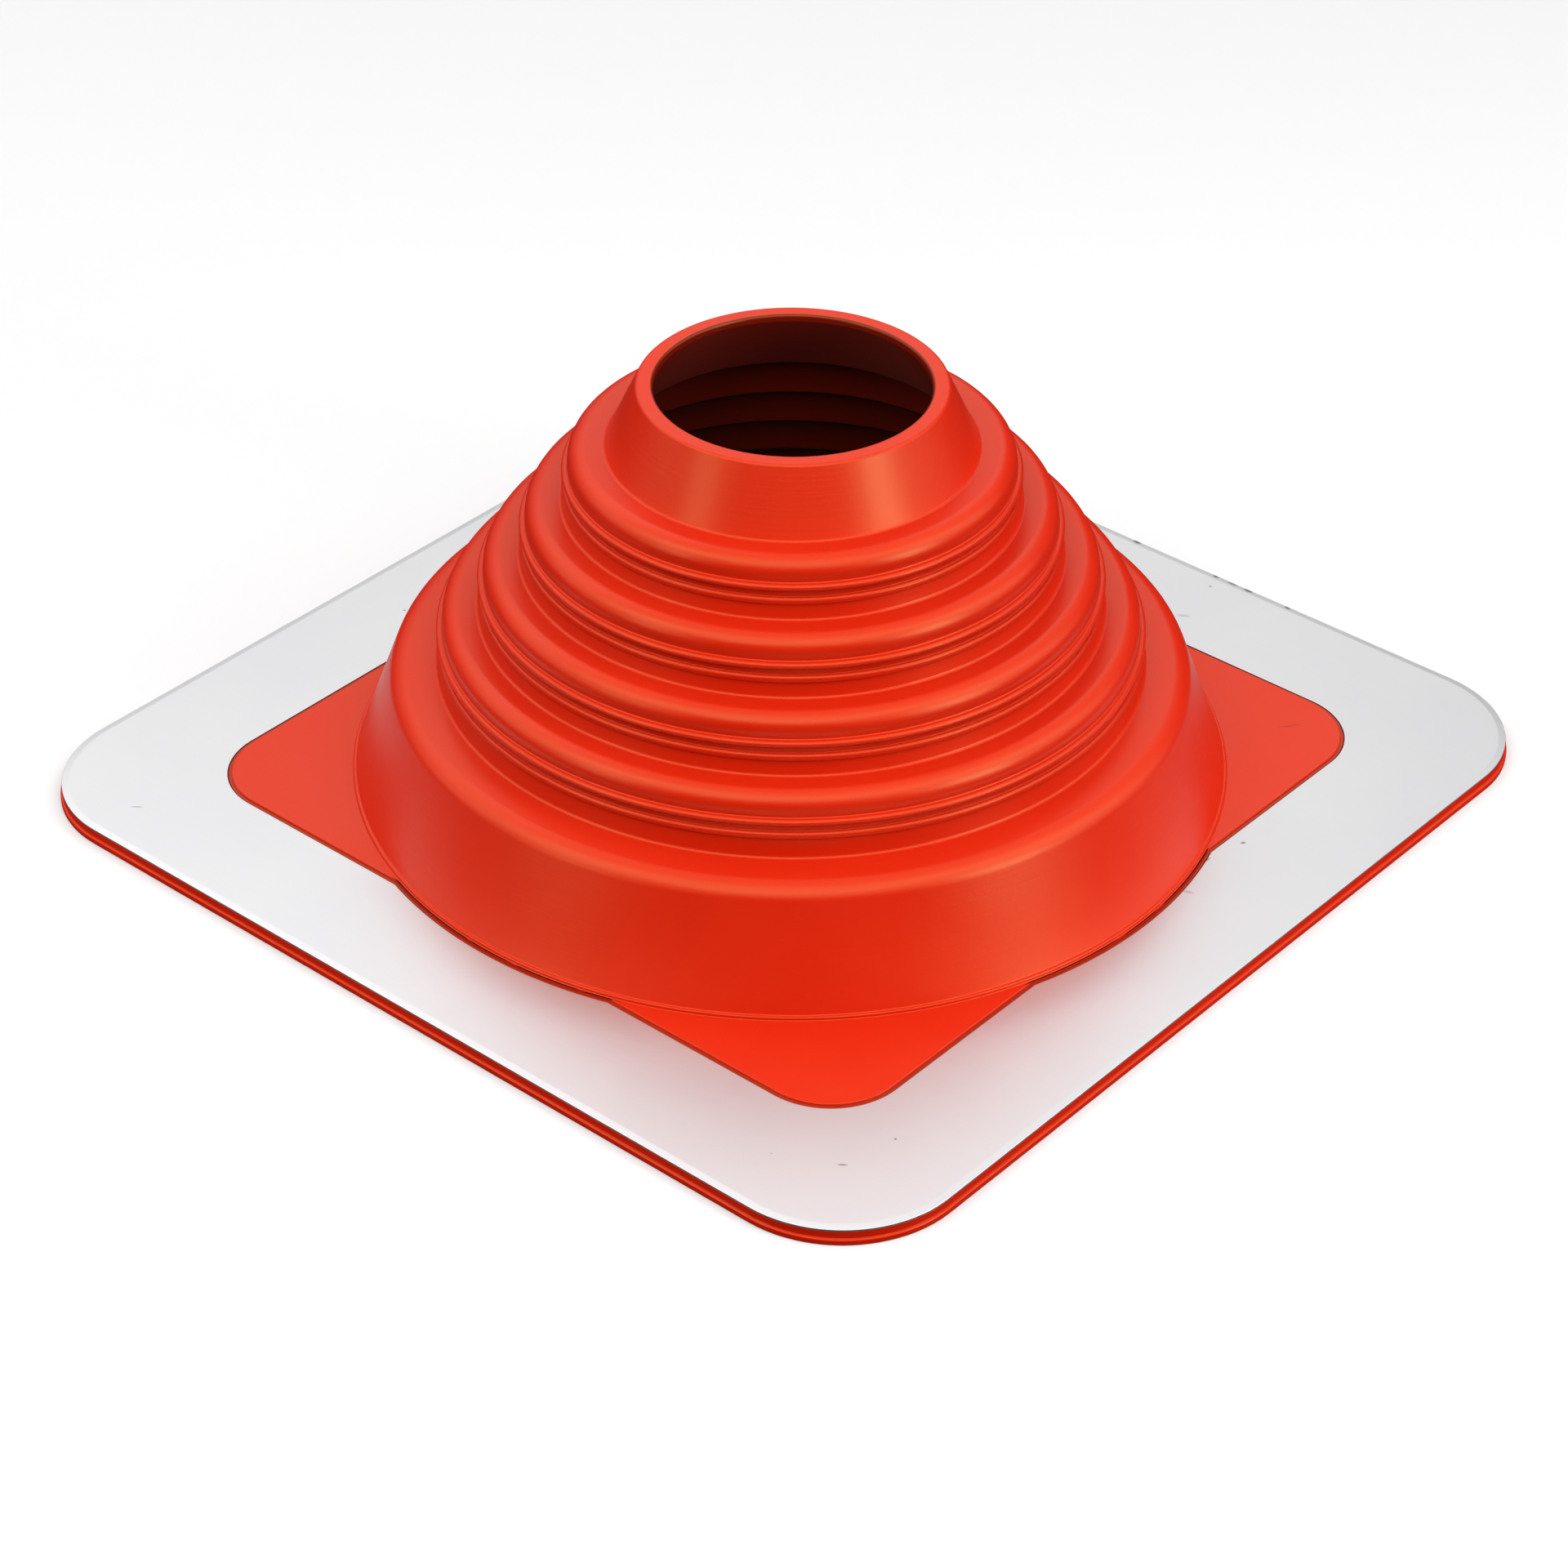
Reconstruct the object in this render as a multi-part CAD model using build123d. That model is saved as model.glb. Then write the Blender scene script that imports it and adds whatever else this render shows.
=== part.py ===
from build123d import *
import os

# Roof flashing for a round pipe: a stepped rubber boot moulded onto a square sheet frame.
# Z is the boot's axis, and the base lies flat on Z = 0. All sizes are in millimetres.

# Lip and collar
OPENING_DIAMETER = 75.0
LIP_WIDTH = 4.6
LIP_ROUNDING = 1.2
LIP_INNER_ROUNDING = 0.8
LIP_LAND = 2.0  # from the lip's top to the foot of the straight bore that grips the pipe
COLLAR_HEIGHT = 18.0
COLLAR_FLARE = 9.1  # gain in radius from the lip to the first crease
WALL = 3.0

# One ring step, from its crease outward and down
RING_COUNT = 4
SHOULDER_FLAT = 5.0
SHOULDER_RISE = 0.5
NOSE_RADIUS = 4.6
NOSE_WALL = 1.8  # straight wall between the nose and the ribbed band
BAND_DEPTH = 1.7  # the two ribs stand proud of that wall
RIB_HEIGHT = 2.0
RIB_BEVEL = 0.6
GROOVE_WIDTH = 1.8  # between the ribs
GROOVE_DEPTH = 1.2
RECESS_HEIGHT = 4.2
RECESS_DEPTH = 1.1
RECESS_DRAFT = 1.7  # gain in radius down the recessed wall
CREASE_RADIUS = 0.7
INNER_CORNER_RADIUS = 1.5

# Base skirt and the plinth at its foot
LAST_RECESS_HEIGHT = 5.4
BASE_SHOULDER = 10.0
BASE_NOSE_RADIUS = 6.0
SKIRT_HEIGHT = 33.4
SKIRT_FLARE = 13.5
PLINTH_HEIGHT = 1.0
PLINTH_LEDGE = 0.9

# Sheet frame, with a cut-out that is a rounded square with a round bulge on each side
FRAME_BAND = 36.5  # width of the sheet between the cut-out's straight sides and its outer edge
FRAME_CORNER_RADIUS = 35.0
FRAME_THICKNESS = 0.8
FRAME_EDGE_CHAMFER = 0.2
CUT_OUT_BULGE = 6.3
CUT_OUT_CORNER_RADIUS = 22.0
CUT_OUT_MARGIN = 1.6  # from the plinth to the sheet, at the bulges

# Rubber base under the frame, with pads that fill the cut-out
SEAT_HEIGHT = 4.0  # rubber under the sheet
PAD_RISE = 0.4  # pads stand above the sheet
PAD_CHAMFER = 0.3
PAD_BORDER_WIDTH = 1.0  # low border of the pads along the sheet's cut edge
PAD_BORDER_DROP = 0.2  # from the sheet's upper face down to that border
RIM_LIP_HEIGHT = 1.8
RIM_LIP_WIDTH = 0.6
RIM_LIP_ROUNDING = 0.5
SEAL_GROOVE_COUNT = 3
SEAL_GROOVE_WIDTH = 3.0
SEAL_GROOVE_DEPTH = 1.2
SEAL_GROOVE_PITCH = 8.0
SEAL_GROOVE_INSET = 8.0  # from the frame's outer edge to the first groove

# Radii worked out from the opening outward
OPENING_RADIUS = OPENING_DIAMETER / 2
LIP_RADIUS = OPENING_RADIUS + LIP_WIDTH
FIRST_CREASE_RADIUS = LIP_RADIUS + COLLAR_FLARE
SHOULDER_WIDTH = SHOULDER_FLAT + NOSE_RADIUS
RING_STEP_OUT = SHOULDER_WIDTH + BAND_DEPTH - RECESS_DEPTH + RECESS_DRAFT
BASE_CREASE_RADIUS = FIRST_CREASE_RADIUS + RING_COUNT * RING_STEP_OUT
FOOT_RADIUS = BASE_CREASE_RADIUS + BASE_SHOULDER + SKIRT_FLARE
PLINTH_RADIUS = FOOT_RADIUS + PLINTH_LEDGE
BULGE_RADIUS = PLINTH_RADIUS + CUT_OUT_MARGIN
CUT_OUT_SIDE = 2 * (BULGE_RADIUS - CUT_OUT_BULGE)
FRAME_SIDE = CUT_OUT_SIDE + 2 * FRAME_BAND

# Heights worked out from the floor up
FRAME_TOP = SEAT_HEIGHT + FRAME_THICKNESS
PAD_TOP = FRAME_TOP + PAD_RISE
PLINTH_TOP = PAD_TOP + PLINTH_HEIGHT
BASE_CREASE_HEIGHT = PLINTH_TOP + SKIRT_HEIGHT
BAND_HEIGHT = 2 * RIB_HEIGHT + GROOVE_WIDTH
RING_BODY_HEIGHT = NOSE_RADIUS + NOSE_WALL + BAND_HEIGHT
RING_STEP_DOWN = RING_BODY_HEIGHT + RECESS_HEIGHT
LAST_CREASE_HEIGHT = BASE_CREASE_HEIGHT + RING_BODY_HEIGHT + LAST_RECESS_HEIGHT
FIRST_CREASE_HEIGHT = LAST_CREASE_HEIGHT + (RING_COUNT - 1) * RING_STEP_DOWN
TOP = FIRST_CREASE_HEIGHT + COLLAR_HEIGHT


def crease(ring):
    """Radius and height of a ring's crease, counted from the top ring as 0."""
    return FIRST_CREASE_RADIUS + ring * RING_STEP_OUT, FIRST_CREASE_HEIGHT - ring * RING_STEP_DOWN


def rib(outer, top):
    """Corners of one rib from its top down, with both outer edges bevelled."""
    bottom = top - RIB_HEIGHT
    return [
        (outer - RIB_BEVEL, top, 0),
        (outer, top - RIB_BEVEL, 0),
        (outer, bottom + RIB_BEVEL, 0),
        (outer - RIB_BEVEL, bottom, 0),
    ]


def ring_outside(ring):
    """Corners (radius, height, rounding) of one ring: crease, nose, ribbed band and recess."""
    inner, level = crease(ring)
    wall = inner + SHOULDER_WIDTH
    outer = wall + BAND_DEPTH
    band_top = level - NOSE_RADIUS - NOSE_WALL
    groove_top = band_top - RIB_HEIGHT
    groove_bottom = groove_top - GROOVE_WIDTH
    return [
        (inner, level, CREASE_RADIUS),
        (wall, level + SHOULDER_RISE, NOSE_RADIUS),
        (wall, band_top, 0),
        *rib(outer, band_top),
        (outer - GROOVE_DEPTH, groove_top, 0),
        (outer - GROOVE_DEPTH, groove_bottom, 0),
        *rib(outer, groove_bottom),
        (outer - RECESS_DEPTH, band_top - BAND_HEIGHT, 0),
    ]


def ring_inside(ring):
    """Corners of the hollow behind one ring, a wall's thickness inside its crease and nose."""
    inner, level = crease(ring)
    return [
        (inner - WALL, level - WALL, 0),
        (inner + SHOULDER_WIDTH - WALL, level - WALL, INNER_CORNER_RADIUS),
    ]


def boot_profile():
    """Half section of the boot: up the inside to the lip, over it and down the outside."""
    outside = [(LIP_RADIUS, TOP, LIP_ROUNDING)]
    inside = [(OPENING_RADIUS, TOP - LIP_LAND, 0)]
    for ring in range(RING_COUNT):
        outside += ring_outside(ring)
        inside += ring_inside(ring)
    base_corner = BASE_CREASE_RADIUS + BASE_SHOULDER
    outside += [
        (BASE_CREASE_RADIUS, BASE_CREASE_HEIGHT, CREASE_RADIUS),
        (base_corner, BASE_CREASE_HEIGHT, BASE_NOSE_RADIUS),
        (FOOT_RADIUS, PLINTH_TOP, 0),
        (PLINTH_RADIUS, PLINTH_TOP, 0),
        (PLINTH_RADIUS, 0, 0),
    ]
    inside += [
        (BASE_CREASE_RADIUS - WALL, BASE_CREASE_HEIGHT - WALL, 0),
        (base_corner - WALL, BASE_CREASE_HEIGHT - WALL, BASE_NOSE_RADIUS - WALL),
        (FOOT_RADIUS - WALL, 0, 0),
    ]
    corners = [(OPENING_RADIUS, TOP, LIP_INNER_ROUNDING)] + outside + inside[::-1]
    points = [(radius, 0, height) for radius, height, rounding in corners]
    roundings = [rounding for radius, height, rounding in corners]
    return make_face(FilletPolyline(*points, radius=roundings, close=True))


def cut_out_outline(inset):
    """The sheet's cut-out, moved inward: a rounded square joined with a round bulge past each side."""
    side = CUT_OUT_SIDE - 2 * inset
    return RectangleRounded(side, side, CUT_OUT_CORNER_RADIUS - inset) + Circle(BULGE_RADIUS - inset)


def base_outline(offset):
    """The frame's outer outline, moved outward by an offset, or inward if it is negative."""
    side = FRAME_SIDE + 2 * offset
    return RectangleRounded(side, side, FRAME_CORNER_RADIUS + offset)


def raised(outline, bottom, top):
    """An upright block on an outline, between two heights."""
    return Pos(0, 0, bottom) * extrude(outline, amount=top - bottom)


def rubber_base():
    """The flange: bed for the sheet, lip round its foot, bordered pads and seal grooves below."""
    bed = raised(base_outline(0), 0, SEAT_HEIGHT)
    lip = raised(base_outline(RIM_LIP_WIDTH), 0, RIM_LIP_HEIGHT)
    lip = fillet(lip.faces().sort_by(Axis.Z)[-1].edges(), RIM_LIP_ROUNDING)
    border = raised(cut_out_outline(0), 0, FRAME_TOP - PAD_BORDER_DROP)
    pads = raised(cut_out_outline(PAD_BORDER_WIDTH), 0, PAD_TOP)
    pads = chamfer(pads.faces().sort_by(Axis.Z)[-1].edges(), PAD_CHAMFER)
    base = bed + lip + border + pads
    for groove in range(SEAL_GROOVE_COUNT):
        outer = -SEAL_GROOVE_INSET - groove * SEAL_GROOVE_PITCH
        ring = base_outline(outer) - base_outline(outer - SEAL_GROOVE_WIDTH)
        base -= raised(ring, 0, SEAL_GROOVE_DEPTH)
    return base - Cylinder(FOOT_RADIUS, 2 * PAD_TOP)


def rubber_boot():
    """The whole moulding: the revolved boot joined with its base."""
    return revolve(boot_profile(), Axis.Z) + rubber_base()


def aluminium_frame():
    """The flat sheet ring, bonded on the base, with its outer upper edge broken."""
    outer = raised(base_outline(0), SEAT_HEIGHT, FRAME_TOP)
    outer = chamfer(outer.faces().sort_by(Axis.Z)[-1].edges(), FRAME_EDGE_CHAMFER)
    return outer - raised(cut_out_outline(0), SEAT_HEIGHT, FRAME_TOP)


os.makedirs("parts", exist_ok=True)
export_step(rubber_boot(), "parts/rubber_boot.step")
export_step(aluminium_frame(), "parts/aluminium_frame.step")
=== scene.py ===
import logging
import math
from dataclasses import dataclass
from enum import Enum
from typing import Any, NamedTuple, Sequence

import bpy
import numpy as np
from mathutils import Matrix, Vector


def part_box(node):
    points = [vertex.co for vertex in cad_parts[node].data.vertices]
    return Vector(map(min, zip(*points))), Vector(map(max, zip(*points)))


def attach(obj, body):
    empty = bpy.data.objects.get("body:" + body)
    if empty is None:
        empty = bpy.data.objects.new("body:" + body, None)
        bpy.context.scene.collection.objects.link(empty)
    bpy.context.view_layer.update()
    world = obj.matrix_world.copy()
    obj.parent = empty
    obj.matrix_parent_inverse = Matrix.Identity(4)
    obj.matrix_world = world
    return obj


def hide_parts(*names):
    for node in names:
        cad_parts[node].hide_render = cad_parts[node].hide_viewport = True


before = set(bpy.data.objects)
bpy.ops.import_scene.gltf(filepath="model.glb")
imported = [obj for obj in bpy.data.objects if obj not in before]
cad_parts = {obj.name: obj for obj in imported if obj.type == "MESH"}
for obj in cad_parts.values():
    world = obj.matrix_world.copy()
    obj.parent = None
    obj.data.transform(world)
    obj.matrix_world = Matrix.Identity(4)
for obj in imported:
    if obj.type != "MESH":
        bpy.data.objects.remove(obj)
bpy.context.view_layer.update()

# A roof flashing for a round pipe: a stepped silicone boot moulded onto a square aluminium sheet.
# Sizes are in millimetres and become metres where a mesh, a light or the camera is made.

MM = 0.001
PAINTED_SHADE = "painted_shade"  # mesh attribute: the share of painted shade, over the whole inside of the boot and in the low border of the pads
Array = np.ndarray
log = logging.getLogger("pipe_flashing")


class Node(Enum):
    """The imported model's nodes."""

    BOOT = "rubber_boot"
    SHEET = "aluminium_frame"


class Slot(Enum):
    """The record's material slots."""

    SILICONE = "red_silicone"
    ALUMINIUM = "mill_aluminium"


class Corner(NamedTuple):
    """One corner of a section: its place, its rounding and the number of steps round it."""

    out: float
    up: float
    rounding: float = 0.2
    steps: int = 2


def linear(colour: str) -> tuple[float, float, float, float]:
    """The linear colour of an sRGB hex value, with full alpha."""
    channels = np.array([int(colour[i : i + 2], 16) for i in (1, 3, 5)]) / 255
    curve = np.where(channels <= 0.04045, channels / 12.92, ((channels + 0.055) / 1.055) ** 2.4)
    return (*curve.tolist(), 1.0)


def unit(vectors: Array) -> Array:
    """Each vector divided by its length."""
    return vectors / np.linalg.norm(vectors, axis=-1, keepdims=True)


def add(tree: bpy.types.NodeTree, kind: str, inputs: dict[str | int, Any], **settings: Any) -> bpy.types.Node:
    """Adds a shader node with its settings and links.

    Args:
        tree: The tree that takes the node.
        kind: The node's type after "ShaderNode".
        inputs: A socket to link or a plain value for each named or numbered input.
        settings: The node's own properties.

    Returns:
        The new node.
    """
    node = tree.nodes.new("ShaderNode" + kind)
    for name, value in settings.items():
        setattr(node, name, value)
    for key, value in inputs.items():
        if isinstance(value, bpy.types.NodeSocket):
            tree.links.new(value, node.inputs[key])
        else:
            node.inputs[key].default_value = value
    return node


def rounded_path(corners: Sequence[Corner]) -> tuple[Array, Array]:
    """An open section with its inner corners rounded, and the outward normal at each point.

    A corner's arc lies between two spokes, from its centre to the points where it leaves the straight
    runs. At share s of the sweep w, the point is the centre plus the rounding times
    (sin((1 - s) w) first + sin(s w) last) / sin w. The section runs with the material on its right, so
    the normal goes along the spoke where the path turns right, and against it where it turns left.

    Args:
        corners: The section's corners in order; the first and last stay as they are.

    Returns:
        Points and normals, each with an outward and an upward column.
    """
    table = np.array(corners, dtype=float)
    place, rounding, steps = table[:, :2], table[1:-1, 2:3], table[1:-1, 3].astype(int)
    run = unit(np.diff(place, axis=0))
    back, ahead = -run[:-1], run[1:]
    half = np.arccos(np.clip((back * ahead).sum(1, keepdims=True), -1, 1)) / 2
    centre = place[1:-1] + unit(back + ahead) * rounding / np.sin(half)
    first = (place[1:-1] + back * rounding / np.tan(half) - centre) / rounding
    last = (place[1:-1] + ahead * rounding / np.tan(half) - centre) / rounding
    right_turn = -np.sign(run[:-1, :1] * run[1:, 1:] - run[:-1, 1:] * run[1:, :1])
    sweep = np.pi - 2 * half
    count = steps + 1
    k = np.repeat(np.arange(len(steps)), count)
    share = ((np.arange(len(k)) - np.repeat(np.cumsum(count) - count, count)) / steps[k])[:, None]
    spoke = np.sin((1 - share) * sweep[k]) * first[k] + np.sin(share * sweep[k]) * last[k]
    spoke = spoke / np.sin(sweep[k])
    left = np.stack([-run[:, 1], run[:, 0]], axis=1)
    points = np.vstack([place[:1], centre[k] + rounding[k] * spoke, place[-1:]])
    normals = np.vstack([left[:1], right_turn[k] * spoke, left[-1:]])
    return points, normals


@dataclass(frozen=True)
class Outline:
    """A plan outline about the axis: a round-cornered square, with a round bulge past each side if one is given."""

    half_side: float
    corner: float
    bulge: float = 0.0

    def reach(self, angle: Array, offset: Array) -> Array:
        """Distance from the axis to the outline in each direction.

        At angle a from the nearest side's normal, the side is half / cos a away. Past the tangent point
        the corner's circle, centred c along both axes, is c (cos a + sin a) plus the root of
        corner^2 - (c (cos a - sin a))^2 away. A bulge's circle counts where it reaches further.

        Args:
            angle: Directions in radians.
            offset: Outward move of the whole outline.

        Returns:
            The distances, with angle and offset broadcast together.
        """
        half, corner = self.half_side + offset, self.corner + offset
        turned = np.abs((angle + np.pi / 4) % (np.pi / 2) - np.pi / 4)
        middle = half - corner
        across = middle * (np.cos(turned) - np.sin(turned))
        along = middle * (np.cos(turned) + np.sin(turned))
        arc = along + np.sqrt(np.maximum(corner**2 - across**2, 0))
        square = np.where(np.tan(turned) * half > middle, arc, half / np.cos(turned))
        return np.maximum(square, self.bulge + offset)

    def tangent(self) -> float:
        """The direction where a side runs into its corner, in radians from the side's normal."""
        return math.atan((self.half_side - self.corner) / self.half_side)

    def junction(self) -> float:
        """The direction where the bulge runs into the side, in radians from the side's normal."""
        return math.acos(self.half_side / self.bulge)


def directions(inner: Outline, outer: Outline, counts: tuple[int, int, int]) -> Array:
    """Directions all round, with a vertex at every bulge's end and closer ones round the corners.

    Args:
        inner: The outline with bulges.
        outer: The outline round it.
        counts: Steps in an eighth turn: along the bulge, along the side and round the corner.

    Returns:
        Angles in radians, in order, with the full turn left out.
    """
    marks = [0.0, inner.junction(), outer.tangent(), np.pi / 4]
    eighth = np.concatenate([np.linspace(a, b, n, endpoint=False) for a, b, n in zip(marks, marks[1:], counts)])
    quarter = np.concatenate([eighth, np.pi / 2 - eighth[:0:-1], [np.pi / 4]])
    return (np.sort(quarter)[None, :] + np.arange(4)[:, None] * np.pi / 2).ravel()


@dataclass
class Skin:
    """A closed surface of stacked loops, one row for each point of a section, that ends where it began."""

    angle: Array
    reach: Array
    height: Array
    facing: Array

    @classmethod
    def around_axis(cls, angle: Array, corners: Sequence[Corner]) -> "Skin":
        """A section turned about the axis: every row is a circle of the point's radius."""
        points, normals = rounded_path(corners)
        return cls(angle, np.repeat(points[:, :1], len(angle), axis=1), points[:, 1], normals)

    @classmethod
    def along_outline(cls, angle: Array, outline: Outline, corners: Sequence[Corner]) -> "Skin":
        """A section carried round an outline: every row is the outline moved out by the point's offset."""
        points, normals = rounded_path(corners)
        return cls(angle, outline.reach(angle[None, :], points[:, :1]), points[:, 1], normals)

    @classmethod
    def stacked(cls, parts: Sequence["Skin"]) -> "Skin":
        """The rows of several skins over the same directions, in order."""
        return cls(
            parts[0].angle,
            np.vstack([part.reach for part in parts]),
            np.concatenate([part.height for part in parts]),
            np.vstack([part.facing for part in parts]),
        )

    def piece(self, name: str, drop: Array | float = 0.0) -> bpy.types.Object:
        """Puts the surface into a mesh object at the origin.

        A point is (reach cos a, reach sin a, height). Quads join each row to the next and the last to the
        first, round all directions. The normal takes the section's outward part along the loop's own
        plan normal, from the chord between a point's two neighbours, and its upward part along Z.

        Args:
            name: The object's name.
            drop: How far each point is pressed down.

        Returns:
            The object, linked to the scene.
        """
        plan = np.stack([self.reach * np.cos(self.angle), self.reach * np.sin(self.angle)], axis=-1)
        height = np.broadcast_to(self.height[:, None], self.reach.shape) - drop
        points = np.concatenate([plan, height[..., None]], axis=-1).reshape(-1, 3) * MM
        chord = unit(np.roll(plan, -1, axis=1) - np.roll(plan, 1, axis=1))
        sideways = np.stack([chord[..., 1], -chord[..., 0]], axis=-1) * self.facing[:, None, :1]
        upward = np.broadcast_to(self.facing[:, None, 1:], (*self.reach.shape, 1))
        normals = unit(np.concatenate([sideways, upward], axis=-1)).reshape(-1, 3)
        index = np.arange(self.reach.size).reshape(self.reach.shape)
        below, beside = np.roll(index, -1, axis=0), np.roll(index, -1, axis=1)
        quads = np.stack([index, below, np.roll(below, -1, axis=1), beside], axis=-1).reshape(-1, 4)
        mesh = bpy.data.meshes.new(name)
        mesh.from_pydata(points.tolist(), [], quads.tolist())
        mesh.shade_smooth()
        mesh.normals_split_custom_set_from_vertices(normals.tolist())
        mesh.update()
        piece = bpy.data.objects.new(name, mesh)
        bpy.context.scene.collection.objects.link(piece)
        return piece


class Scuff(NamedTuple):
    """A small worn mark: its middle and half sizes in millimetres, its turn in degrees and its strength."""

    x: float
    y: float
    half_length: float
    half_width: float
    turn: float = 0.0
    strength: float = 1.0


def wear(
    tree: bpy.types.NodeTree, place: bpy.types.NodeSocket, scuffs: Sequence[Scuff], start: bpy.types.NodeSocket | None = None
) -> bpy.types.NodeSocket:
    """Lays scuffs over a first mask: each is a stretched, turned ball that fades from 1 at its middle.

    Args:
        tree: The material's tree.
        place: The point on the piece.
        scuffs: The marks.
        start: The mask to begin with, if there is one.

    Returns:
        The mask of all the wear, the stronger one where two meet.
    """
    worn = start
    for scuff in scuffs:
        local = add(
            tree, "Mapping",
            {"Vector": place, "Location": (scuff.x * MM, scuff.y * MM, 0.0),
             "Rotation": (0.0, 0.0, math.radians(scuff.turn)),
             "Scale": (scuff.half_length * MM, scuff.half_width * MM, 1.0)},
            vector_type="TEXTURE",
        )
        ball = add(tree, "TexGradient", {"Vector": local.outputs[0]}, gradient_type="SPHERICAL")
        mark = add(tree, "MapRange", {"Value": ball.outputs["Fac"], "From Max": 0.6, "To Max": scuff.strength}).outputs[0]
        worn = mark if worn is None else add(tree, "Math", {0: worn, 1: mark}, operation="MAXIMUM").outputs[0]
    return worn


@dataclass(frozen=True)
class MouldedSilicone:
    """Pigmented silicone rubber, compression moulded in a turned steel tool.

    It gives the eye a warm, even red with a satin sheen, faint turning lines round the walls and a
    slightly cloudy bloom. The inner wall is painted a much darker red as painted shade for the dim hollow
    inside, and the low border of the pads takes part of that painted shade for the shadowed groove there.
    """

    body: str = "#BA1B04"
    deep: str = "#B31703"
    inner_shade_red: str = "#660C02"
    sheen: str = "#FFEEA0"
    ior: float = 1.41
    specular: float = 0.56
    roughness: tuple[float, float] = (0.33, 0.41)
    bloom_size: float = 45.0
    turning_pitch: float = 0.8
    turning_length: float = 40.0
    turning_depth: float = 0.03
    grain_size: float = 1.1  # real moulding grain is near 0.1 mm, drawn coarser so that it shows
    grain_depth: float = 0.02
    scratch: str = "#8A1204"
    scuffs: tuple[Scuff, ...] = (Scuff(99.7, 103.2, 4.2, 0.55, 54, 0.8),)

    def material(self) -> bpy.types.Material:
        """The shader: two close reds and a roughness that follow the bloom, a much darker red laid on as painted shade
        where the mesh marks it, with turning lines and grain as bump.
        """
        material = bpy.data.materials.new("moulded_red_silicone")
        material.use_nodes = True
        tree = material.node_tree
        tree.nodes.clear()
        place = add(tree, "TexCoord", {}).outputs["Object"]
        bloom = add(tree, "TexNoise", {"Vector": place, "Scale": 1 / (self.bloom_size * MM), "Detail": 3.0})
        tone = add(tree, "Mix", {0: bloom.outputs["Fac"], 6: linear(self.deep), 7: linear(self.body)}, data_type="RGBA")
        # Painted shade: the mesh attribute mixes in a much darker red over the inside of the boot and the pads' low
        # border.
        inner = add(tree, "Attribute", {}, attribute_name=PAINTED_SHADE)
        inner_shaded = add(tree, "Mix", {0: inner.outputs["Fac"], 6: tone.outputs[2], 7: linear(self.inner_shade_red)}, data_type="RGBA")
        worn = wear(tree, place, self.scuffs)
        marked = add(tree, "Mix", {0: worn, 6: inner_shaded.outputs[2], 7: linear(self.scratch)}, data_type="RGBA")
        low, high = self.roughness
        satin = add(tree, "MapRange", {"Value": bloom.outputs["Fac"], "From Min": 0.3, "From Max": 0.7,
                                       "To Min": low, "To Max": high})
        round_walls = (1 / (self.turning_length * MM), 1 / (self.turning_length * MM), 1 / (self.turning_pitch * MM))
        turned = add(tree, "Mapping", {"Vector": place, "Scale": round_walls})
        lines = add(tree, "TexNoise", {"Vector": turned.outputs[0], "Scale": 1.0, "Detail": 1.0})
        turning = add(tree, "Bump", {"Height": lines.outputs["Fac"], "Distance": self.turning_depth * MM,
                                     "Strength": 1.0})
        grain = add(tree, "TexNoise", {"Vector": place, "Scale": 1 / (self.grain_size * MM), "Detail": 2.0})
        relief = add(tree, "Bump", {"Height": grain.outputs["Fac"], "Distance": self.grain_depth * MM,
                                    "Strength": 1.0, "Normal": turning.outputs["Normal"]})
        shader = add(
            tree, "BsdfPrincipled",
            {"Base Color": marked.outputs[2], "Roughness": satin.outputs[0], "IOR": self.ior,
             "Specular IOR Level": self.specular, "Specular Tint": linear(self.sheen),
             "Normal": relief.outputs["Normal"]},
        )
        add(tree, "OutputMaterial", {"Surface": shader.outputs[0]})
        return material


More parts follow.
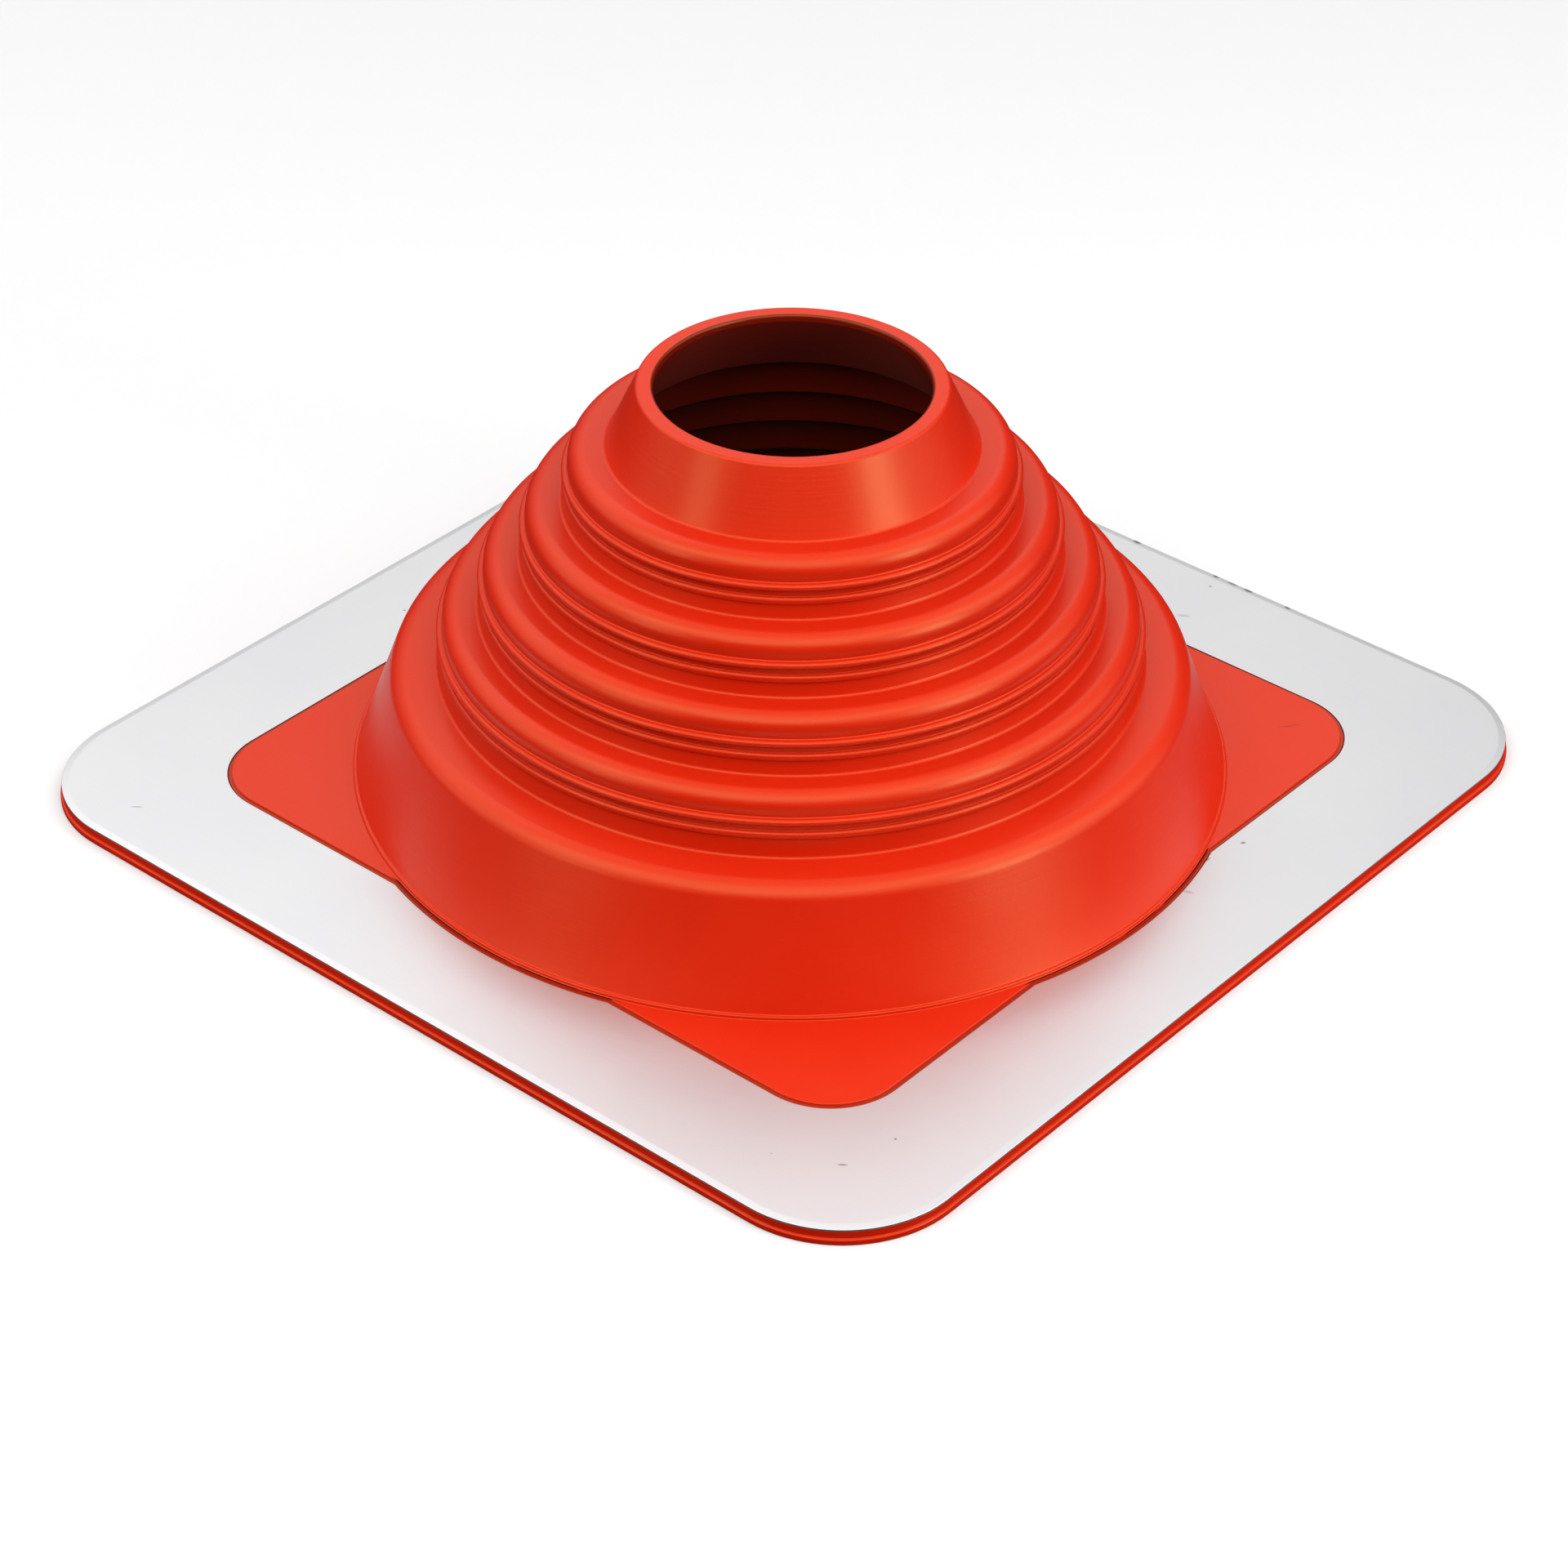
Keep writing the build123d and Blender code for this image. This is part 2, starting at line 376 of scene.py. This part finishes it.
@dataclass(frozen=True)
class MillAluminium:
    """Aluminium sheet as it leaves the rolling mill.

    It gives the eye a pale satin grey with a fine straight grain, cloudy patches, a few dark specks, and
    the nicks and scuffs of handling.
    """

    bright: str = "#D7D7D8"
    dull: str = "#CFCFD1"
    speck: str = "#7C7B7C"
    roughness: tuple[float, float] = (0.42, 0.47)
    cloud_size: float = 55.0
    grain_width: float = 0.4  # real rolling lines are near 0.1 mm, drawn coarser so that they show
    grain_length: float = 12.0
    grain_depth: float = 0.001
    speck_spacing: float = 26.0
    speck_radius: float = 0.45
    scuffs: tuple[Scuff, ...] = (
        Scuff(6.8, 154.4, 1.8, 0.9),
        Scuff(36.4, 154.4, 1.3, 0.7),
        Scuff(42.5, 154.4, 2.2, 0.8, 0, 0.7),
        Scuff(48.4, 154.4, 2.0, 0.9),
        Scuff(62.7, 154.4, 1.3, 0.7),
        Scuff(38.5, 148.7, 0.7, 0.6, 0, 0.6),
        Scuff(42.0, 130.3, 2.6, 1.0, 30, 0.3),
        Scuff(122.6, 48.6, 1.0, 0.7, 60, 0.8),
        Scuff(119.6, 35.0, 2.4, 0.6, 85, 1.0),
        Scuff(124.6, 20.4, 2.0, 0.6, 20, 0.4),
        Scuff(127.3, -127.9, 1.6, 0.5, 40, 0.7),
        Scuff(-118.7, -140.2, 2.2, 0.4, 40, 0.5),
    )

    def material(self) -> bpy.types.Material:
        """The shader: clouded greys with specks, and a grain along X in the roughness and the bump."""
        material = bpy.data.materials.new("mill_finish_aluminium")
        material.use_nodes = True
        tree = material.node_tree
        tree.nodes.clear()
        place = add(tree, "TexCoord", {}).outputs["Object"]
        cloud = add(tree, "TexNoise", {"Vector": place, "Scale": 1 / (self.cloud_size * MM), "Detail": 4.0})
        tone = add(tree, "Mix", {0: cloud.outputs["Fac"], 6: linear(self.dull), 7: linear(self.bright)}, data_type="RGBA")
        cells = add(tree, "TexVoronoi", {"Vector": place, "Scale": 1 / (self.speck_spacing * MM)})
        near = self.speck_radius / self.speck_spacing
        dot = add(tree, "MapRange", {"Value": cells.outputs["Distance"], "From Min": near, "From Max": near * 0.5})
        worn = wear(tree, place, self.scuffs, dot.outputs[0])
        spotted = add(tree, "Mix", {0: worn, 6: tone.outputs[2], 7: linear(self.speck)}, data_type="RGBA")
        along = (1 / (self.grain_length * MM), 1 / (self.grain_width * MM), 1.0)
        rolled = add(tree, "Mapping", {"Vector": place, "Scale": along})
        grain = add(tree, "TexNoise", {"Vector": rolled.outputs[0], "Scale": 1.0, "Detail": 3.0})
        low, high = self.roughness
        satin = add(tree, "MapRange", {"Value": grain.outputs["Fac"], "From Min": 0.3, "From Max": 0.7,
                                       "To Min": low, "To Max": high})
        relief = add(tree, "Bump", {"Height": grain.outputs["Fac"], "Distance": self.grain_depth * MM,
                                    "Strength": 1.0})
        shader = add(
            tree, "BsdfPrincipled",
            {"Base Color": spotted.outputs[2], "Metallic": 1.0, "Roughness": satin.outputs[0],
             "Normal": relief.outputs["Normal"]},
        )
        add(tree, "OutputMaterial", {"Surface": shader.outputs[0]})
        return material


@dataclass(frozen=True)
class Ring:
    """One ring step of the boot, from its crease outward and down, and the hollow behind it."""

    crease_out: float
    crease_up: float
    wall: float
    shoulder_flat: float = 5.0
    shoulder_rise: float = 0.5
    nose: float = 4.6
    nose_wall: float = 1.8
    band_depth: float = 1.7
    rib_height: float = 2.0
    groove_width: float = 1.8
    groove_depth: float = 1.2
    recess_depth: float = 0.6

    def outside(self) -> list[Corner]:
        """Crease, shoulder and nose, two ribs with the groove between them, and the recess below."""
        nose_out = self.crease_out + self.shoulder_flat + self.nose
        rib_out = nose_out + self.band_depth
        groove_out = rib_out - self.groove_depth
        band_top = self.crease_up - self.nose - self.nose_wall
        groove_top = band_top - self.rib_height
        groove_bottom = groove_top - self.groove_width
        band_bottom = groove_bottom - self.rib_height
        bead = 0.48 * self.rib_height
        return [
            Corner(self.crease_out - 0.5, self.crease_up - 0.4, 0.9, 6),
            Corner(nose_out, self.crease_up + self.shoulder_rise, self.nose, 10),
            Corner(nose_out, band_top, 0.4, 3),
            Corner(rib_out, band_top, bead, 5),
            Corner(rib_out, groove_top, bead, 5),
            Corner(groove_out, groove_top, 0.2),
            Corner(groove_out, groove_bottom, 0.2),
            Corner(rib_out, groove_bottom, bead, 5),
            Corner(rib_out, band_bottom, 0.5 * bead, 5),
            Corner(rib_out - self.recess_depth, band_bottom, 0.08),
        ]

    def inside(self) -> list[Corner]:
        """The hollow behind the nose and the edge behind the crease, from below upward."""
        tread = self.crease_up - self.wall
        return [
            Corner(self.crease_out + self.shoulder_flat + self.nose - self.wall, tread, 1.5, 3),
            Corner(self.crease_out - self.wall, tread, 0.5),
        ]


@dataclass
class RubberBoot:
    """The silicone moulding: lip, collar, rings, skirt, pads and the bed that carries the sheet."""

    top: float
    rim: Outline
    cut_out: Outline
    seat: float
    sheet_top: float
    half_base: float
    opening: float = 37.5
    lip_width: float = 4.6
    lip_land: float = 2.0
    collar_height: float = 18.0
    collar_flare: float = 9.1
    wall: float = 3.0
    rings: int = 4
    ring_out: float = 11.9
    ring_down: float = 16.4
    last_ring_down: float = 17.6
    base_shoulder: float = 10.0
    base_nose: float = 6.0
    base_nose_out: float = 1.5  # the soft moulding bulges past the drawn corner
    base_nose_drop: float = 1.0
    skirt_height: float = 33.4
    skirt_flare: float = 13.5
    plinth_height: float = 1.0
    plinth_ledge: float = 0.9
    pad_rise: float = 0.4
    pad_border: float = 1.2
    pad_border_shade: float = 0.6  # share of painted shade in the low border, for the shadowed groove round the pads
    pad_border_drop: float = 0.2
    pad_gap: float = 0.2
    rim_lip_height: float = 1.8
    seal_grooves: int = 3
    seal_width: float = 3.0
    seal_depth: float = 1.2
    seal_pitch: float = 8.0
    seal_inset: float = 8.0

    def ring(self, count: int) -> Ring:
        """The ring with that count from the top, where the top ring is 0."""
        crease_out = self.opening + self.lip_width + self.collar_flare + count * self.ring_out
        return Ring(crease_out, self.top - self.collar_height - count * self.ring_down, self.wall)

    def turned_corners(self) -> list[Corner]:
        """The section of all that is round: up the inside, over the lip and down the outside to the pads."""
        rings = [self.ring(count) for count in range(self.rings)]
        base_out = rings[-1].crease_out + self.ring_out
        base_up = rings[-1].crease_up - self.last_ring_down
        nose_out = base_out + self.base_shoulder
        foot = nose_out + self.skirt_flare
        plinth = foot + self.plinth_ledge
        plinth_top = base_up - self.skirt_height
        pad_top = plinth_top - self.plinth_height
        inside = [
            Corner(foot - self.wall + 1.5, 0),
            Corner(foot - self.wall, 0, 0.4),
            Corner(nose_out - self.wall, base_up - self.wall, self.base_nose - self.wall, 4),
            Corner(base_out - self.wall, base_up - self.wall, 0.5),
        ]
        inside += [corner for ring in reversed(rings) for corner in ring.inside()]
        lip = [
            Corner(self.opening, self.top - self.lip_land, 0.4),
            Corner(self.opening, self.top, 0.8, 4),
            Corner(self.opening + self.lip_width, self.top, 1.2, 5),
        ]
        outside = [corner for ring in rings for corner in ring.outside()]
        base = [
            Corner(base_out - 0.5, base_up - 0.4, 0.9, 6),
            Corner(nose_out + self.base_nose_out, base_up - self.base_nose_drop, self.base_nose, 10),
            Corner(foot, plinth_top, 0.4, 3),
            Corner(plinth, plinth_top, 0.4, 3),
            Corner(plinth, pad_top, 0.3, 3),
            Corner(plinth + 0.6, pad_top),
        ]
        return inside + lip + outside + base

    def pad_corners(self) -> list[Corner]:
        """The pads' section, as offsets from the cut-out: top, step, low border, gap and the bed under the sheet."""
        pad_top = self.sheet_top + self.pad_rise
        border_top = self.sheet_top - self.pad_border_drop
        return [
            Corner(-self.pad_border - 0.4, pad_top),
            Corner(-self.pad_border, pad_top, 0.25, 3),
            Corner(-self.pad_border, border_top, 0.1),
            Corner(-self.pad_gap, border_top, 0.2),
            Corner(-self.pad_gap, self.seat, 0.1),
            Corner(1.0, self.seat),
        ]

    def rim_corners(self) -> list[Corner]:
        """The rim's section, as offsets from the sheet's edge: bed, wall, lip, and the sealing grooves below."""
        lip_out = self.half_base - self.rim.half_side
        corners = [
            Corner(-1.0, self.seat),
            Corner(-0.05, self.seat, 0.2),
            Corner(-0.05, self.rim_lip_height, 0.15),
            Corner(lip_out, self.rim_lip_height, 0.5, 4),
            Corner(lip_out, 0, 0.3),
        ]
        for groove in range(self.seal_grooves):
            outer = -self.seal_inset - groove * self.seal_pitch
            inner = outer - self.seal_width
            corners += [
                Corner(outer, 0, 0.25, 1),
                Corner(outer, self.seal_depth, 0.25, 1),
                Corner(inner, self.seal_depth, 0.25, 1),
                Corner(inner, 0, 0.25, 1),
            ]
        return corners + [Corner(corners[-1].out - 1.0, 0)]

    def build(self, finish: MouldedSilicone) -> bpy.types.Object:
        """Makes the moulding as one closed surface and dresses it.

        Args:
            finish: The silicone's finish.

        Returns:
            The moulding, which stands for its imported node.
        """
        angle = directions(self.cut_out, self.rim, (11, 11, 11))
        turned = Skin.around_axis(angle, self.turned_corners())
        pads = Skin.along_outline(angle, self.cut_out, self.pad_corners())
        rim = Skin.along_outline(angle, self.rim, self.rim_corners())
        # Painted shade: every row up the inside of the boot, to the lip's top, takes the dark red in full.
        inside = np.arange(len(turned.height)) < np.argmax(turned.height)
        # Painted shade: the pads' low border, the shadowed groove round them, takes the dark red in part.
        border = self.pad_border_shade * (pads.height < self.sheet_top)
        dark = np.concatenate([inside, border, np.zeros(len(rim.height))])
        piece = Skin.stacked([turned, pads, rim]).piece("silicone_boot")
        mark = piece.data.attributes.new(PAINTED_SHADE, "FLOAT", "POINT")
        mark.data.foreach_set("value", np.repeat(dark, len(angle)).astype(np.float32))
        piece.data.materials.append(finish.material())
        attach(piece, "root")
        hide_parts(Node.BOOT.value)
        return piece


@dataclass
class SheetFrame:
    """The pressed aluminium sheet: flat, with a rolled-over outer edge."""

    outer: Outline
    cut_out: Outline
    bottom: float
    top: float
    roll_width: float = 2.0
    roll_drop: float = 0.2

    def inner_corners(self) -> list[Corner]:
        """The cut-out's edge, as offsets from its outline, from the underside to the top."""
        return [
            Corner(1.2, self.bottom),
            Corner(0, self.bottom, 0.15),
            Corner(0, self.top, 0.2, 3),
            Corner(1.0, self.top),
        ]

    def outer_corners(self) -> list[Corner]:
        """The outer edge, as offsets from its outline: a wide soft roll, then the cut edge."""
        return [
            Corner(-self.roll_width - 2.0, self.top),
            Corner(-self.roll_width, self.top, 6.0, 4),
            Corner(0, self.top - self.roll_drop, 0.12),
            Corner(0, self.bottom, 0.12),
            Corner(-1.2, self.bottom),
        ]

    def build(self, finish: MillAluminium) -> bpy.types.Object:
        """Makes the sheet as one closed surface and dresses it.

        Args:
            finish: The aluminium's finish.

        Returns:
            The sheet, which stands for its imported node.
        """
        angle = directions(self.cut_out, self.outer, (24, 40, 40))
        skin = Skin.stacked([
            Skin.along_outline(angle, self.cut_out, self.inner_corners()),
            Skin.along_outline(angle, self.outer, self.outer_corners()),
        ])
        piece = skin.piece("aluminium_sheet")
        piece.data.materials.append(finish.material())
        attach(piece, "root")
        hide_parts(Node.SHEET.value)
        return piece


@dataclass(frozen=True)
class Softbox:
    """A soft panel of light, aimed at the boot. Distances are in metres, angles in degrees."""

    name: str
    azimuth: float
    elevation: float
    distance: float
    width: float
    height: float
    power: float

    def build(self, target: Vector) -> bpy.types.Object:
        """Makes the light and turns it to the target.

        Args:
            target: The point that the panel faces.

        Returns:
            The light.
        """
        light = bpy.data.lights.new(self.name, "AREA")
        light.shape, light.size, light.size_y, light.energy = "RECTANGLE", self.width, self.height, self.power
        panel = bpy.data.objects.new(self.name, light)
        a, e = math.radians(self.azimuth), math.radians(self.elevation)
        back = Vector((math.sin(a) * math.cos(e), -math.cos(a) * math.cos(e), math.sin(e)))
        panel.location = target + back * self.distance
        panel.rotation_euler = (-back).to_track_quat("-Z", "Y").to_euler()
        panel.visible_camera = False
        bpy.context.scene.collection.objects.link(panel)
        return panel


@dataclass(frozen=True)
class Studio:
    """The pale floor, the soft light and the camera at the photograph's angle."""

    floor_colour: str = "#CACACA"
    floor_half: float = 6.0
    sky: float = 0.03
    focal_pixels: float = 5188.0
    image_pixels: float = 1920.0
    sensor: float = 36.0
    azimuth: float = 40.57
    elevation: float = 35.3
    roll: float = 0.38
    distance: float = 1203.2
    shift_right: float = -1.7
    shift_up: float = -5.46
    softboxes: tuple[Softbox, ...] = (
        Softbox("top_softbox", 40.0, 89.0, 3.0, 8.4, 8.4, 194.0),
        Softbox("front_high", 40.0, 64.0, 1.6, 1.6, 0.9, 8.0),
        Softbox("front_mid", 40.0, 42.0, 1.6, 1.6, 0.6, 7.6),
        Softbox("right_high", 112.0, 46.0, 1.4, 0.8, 0.7, 4.6),
        Softbox("left_high", -26.0, 44.0, 1.3, 0.6, 0.6, 4.2),
        Softbox("right_strip", 97.0, 14.0, 1.0, 0.26, 0.45, 5.0),
        Softbox("left_strip", -16.0, 14.0, 1.0, 0.26, 0.45, 1.8),
        Softbox("right_side", 135.0, 22.0, 1.6, 1.0, 0.9, 5.6),
        Softbox("left_side", -54.0, 22.0, 1.6, 1.0, 0.9, 4.4),
        Softbox("back_high", 220.0, 72.0, 1.8, 2.6, 0.9, 2.6),
        Softbox("back_low", 244.0, 18.0, 1.6, 2.6, 0.8, 1.9),
        Softbox("back_mid", 244.0, 42.0, 1.6, 2.6, 0.8, 7.0),
    )

    def build_floor(self) -> bpy.types.Object:
        """Makes the plain floor just under the base."""
        mesh = bpy.data.meshes.new("floor")
        s = self.floor_half
        corners = [(-s, -s, -0.05 * MM), (s, -s, -0.05 * MM), (s, s, -0.05 * MM), (-s, s, -0.05 * MM)]
        mesh.from_pydata(corners, [], [(0, 1, 2, 3)])
        floor = bpy.data.objects.new("floor", mesh)
        # The paper stays out of the rubber's reflections and sends no light up under the ribs
        floor.visible_glossy = floor.visible_diffuse = False
        bpy.context.scene.collection.objects.link(floor)
        material = bpy.data.materials.new("matt_white_paper")
        material.use_nodes = True
        tree = material.node_tree
        tree.nodes.clear()
        shader = add(tree, "BsdfDiffuse", {"Color": linear(self.floor_colour)})
        add(tree, "OutputMaterial", {"Surface": shader.outputs[0]})
        mesh.materials.append(material)
        return floor

    def build_sky(self) -> None:
        """Sets an even, dim surround."""
        world = bpy.data.worlds.new("studio")
        world.use_nodes = True
        tree = world.node_tree
        tree.nodes.clear()
        glow = add(tree, "Background", {"Color": (1.0, 1.0, 1.0, 1.0), "Strength": self.sky})
        add(tree, "OutputWorld", {"Surface": glow.outputs[0]})
        bpy.context.scene.world = world

    def build_camera(self) -> bpy.types.Object:
        """Makes the camera from the photograph's viewing angle, roll and distance."""
        camera = bpy.data.cameras.new("camera")
        camera.sensor_width = self.sensor
        camera.lens = self.focal_pixels / self.image_pixels * self.sensor
        a, e, r = (math.radians(value) for value in (self.azimuth, self.elevation, self.roll))
        back = Vector((math.sin(a) * math.cos(e), -math.cos(a) * math.cos(e), math.sin(e)))
        level = Vector((math.cos(a), math.sin(a), 0.0))
        upright = back.cross(level)
        right = level * math.cos(r) + upright * math.sin(r)
        up = upright * math.cos(r) - level * math.sin(r)
        place = (right * self.shift_right + up * self.shift_up + back * self.distance) * MM
        holder = bpy.data.objects.new("camera", camera)
        holder.matrix_world = Matrix((
            (right.x, up.x, back.x, place.x),
            (right.y, up.y, back.y, place.y),
            (right.z, up.z, back.z, place.z),
            (0.0, 0.0, 0.0, 1.0),
        ))
        bpy.context.scene.collection.objects.link(holder)
        bpy.context.scene.camera = holder
        return holder

    def build(self, target: Vector) -> None:
        """Makes the floor, the surround, the softboxes and the camera.

        Args:
            target: The point that the softboxes face.
        """
        self.build_floor()
        self.build_sky()
        for softbox in self.softboxes:
            softbox.build(target)
        self.build_camera()
        bpy.context.scene.view_settings.view_transform = "Standard"
        bpy.context.scene.view_settings.look = "None"


def main() -> None:
    """Builds the boot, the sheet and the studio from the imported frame."""
    logging.basicConfig(level=logging.INFO)
    boot_low, boot_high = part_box(Node.BOOT.value)
    sheet_low, sheet_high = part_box(Node.SHEET.value)
    outer = Outline(sheet_high.x / MM, 35.0)
    cut_out = Outline(sheet_high.x / MM - 36.5, 22.0, sheet_high.x / MM - 36.5 + 6.3)
    seat, sheet_top = sheet_low.z / MM, sheet_high.z / MM
    boot = RubberBoot(boot_high.z / MM, outer, cut_out, seat, sheet_top, boot_high.x / MM)
    sheet = SheetFrame(outer, cut_out, seat, sheet_top)
    for piece in (boot.build(MouldedSilicone()), sheet.build(MillAluminium())):
        log.info("%s: %d faces", piece.name, len(piece.data.polygons))
    Studio().build(Vector((0.0, 0.0, boot_high.z / 2)))


if __name__ == "__main__":
    main()
